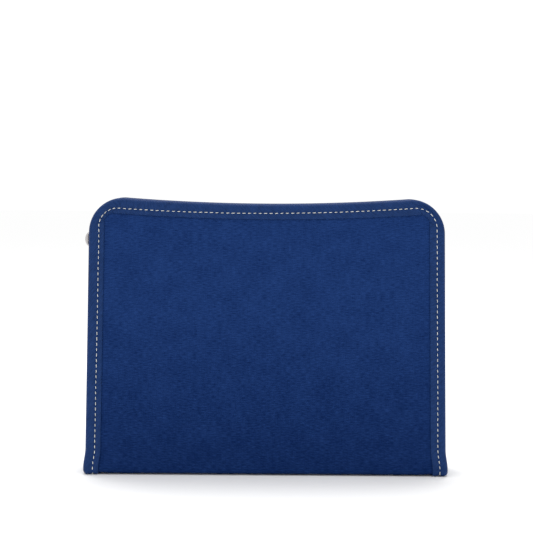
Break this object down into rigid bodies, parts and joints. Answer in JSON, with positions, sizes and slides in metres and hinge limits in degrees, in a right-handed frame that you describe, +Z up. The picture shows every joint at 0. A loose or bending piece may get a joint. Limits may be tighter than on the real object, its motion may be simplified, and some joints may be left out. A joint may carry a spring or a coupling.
{
  "type": "travel document organizer",
  "caption": "Zip-around travel document organizer: two stiffened canvas covers hinged on a flat spine, bound edges, coil zip, inside pockets.",
  "frame": {"origin": "middle of the underside of the spine, on the surface that the closed organizer stands on", "axes": "+X along the spine, towards the end away from the slider; +Y from the front cover to the back cover; +Z up"},
  "size_m": [0.2377, 0.0352, 0.18],
  "materials": {
    "canvas": "coated canvas, fine weave",
    "binding_cloth": "bias-cut coated canvas, folded",
    "lining_cloth": "plain woven nylon",
    "pocket_cloth": "plain woven nylon",
    "board": "grey board",
    "zip_tape": "woven herringbone tape",
    "zip_coil": "nylon coil",
    "slider_metal": "polished nickel",
    "elastic": "woven elastic"
  },
  "bodies": {
    "spine": {"base_shell": "canvas", "base_board": "board", "base_lining": "lining_cloth", "spine_binding_left": "binding_cloth", "spine_binding_right": "binding_cloth", "zip_end_tab_left": "zip_tape", "zip_end_tab_right": "zip_tape", "pen_loop": "elastic"},
    "front": {"front_shell": "canvas", "front_board": "board", "front_lining": "lining_cloth", "front_binding": "binding_cloth", "front_zip_tape": "zip_tape", "front_zip_coil": "zip_coil", "slip_pocket": "pocket_cloth", "coin_pocket_panel": "pocket_cloth", "coin_zip_tape": "zip_tape", "coin_zip_coil": "zip_coil"},
    "back": {"back_shell": "canvas", "back_board": "board", "back_lining": "lining_cloth", "back_binding": "binding_cloth", "back_zip_tape": "zip_tape", "back_zip_coil": "zip_coil", "ticket_pocket": "pocket_cloth", "passport_pocket": "pocket_cloth", "card_pocket_1": "pocket_cloth", "card_pocket_2": "pocket_cloth", "card_pocket_3": "pocket_cloth", "card_pocket_4": "pocket_cloth"},
    "slider": {"slider_body": "slider_metal", "slider_crown": "slider_metal", "slider_lock_pawl": "slider_metal"},
    "puller": {"puller": "slider_metal"},
    "coin_slider": {"coin_slider_body": "slider_metal", "coin_slider_crown": "slider_metal"},
    "coin_puller": {"coin_puller": "slider_metal"}
  },
  "joints": [
    {"name": "front_fold", "type": "hinge", "parent": "spine", "child": "front", "pos_m": [0, -0.017, 0.001], "axis": [1, 0, 0], "range_deg": [0, 92.8]},
    {"name": "back_fold", "type": "hinge", "parent": "spine", "child": "back", "pos_m": [0, 0.017, 0.001], "axis": [-1, 0, 0], "range_deg": [0, 92.8]},
    {"name": "zip_slider_travel", "type": "slide", "parent": "back", "child": "slider", "axis": [0.0127, 0, 0.9999], "range_m": [-0.12, 0]},
    {"name": "puller_swing", "type": "hinge", "parent": "slider", "child": "puller", "pos_m": [-0.11497, 0, 0.15149], "axis": [0, 1, 0], "range_deg": [0, 165]},
    {"name": "coin_slider_travel", "type": "slide", "parent": "front", "child": "coin_slider", "axis": [1, 0, 0], "range_m": [-0.168, 0]},
    {"name": "coin_puller_swing", "type": "hinge", "parent": "coin_slider", "child": "coin_puller", "pos_m": [0.0828, -0.00736, 0.05258], "axis": [0, -0.05, -0.9987], "range_deg": [0, 170]}
  ]
}
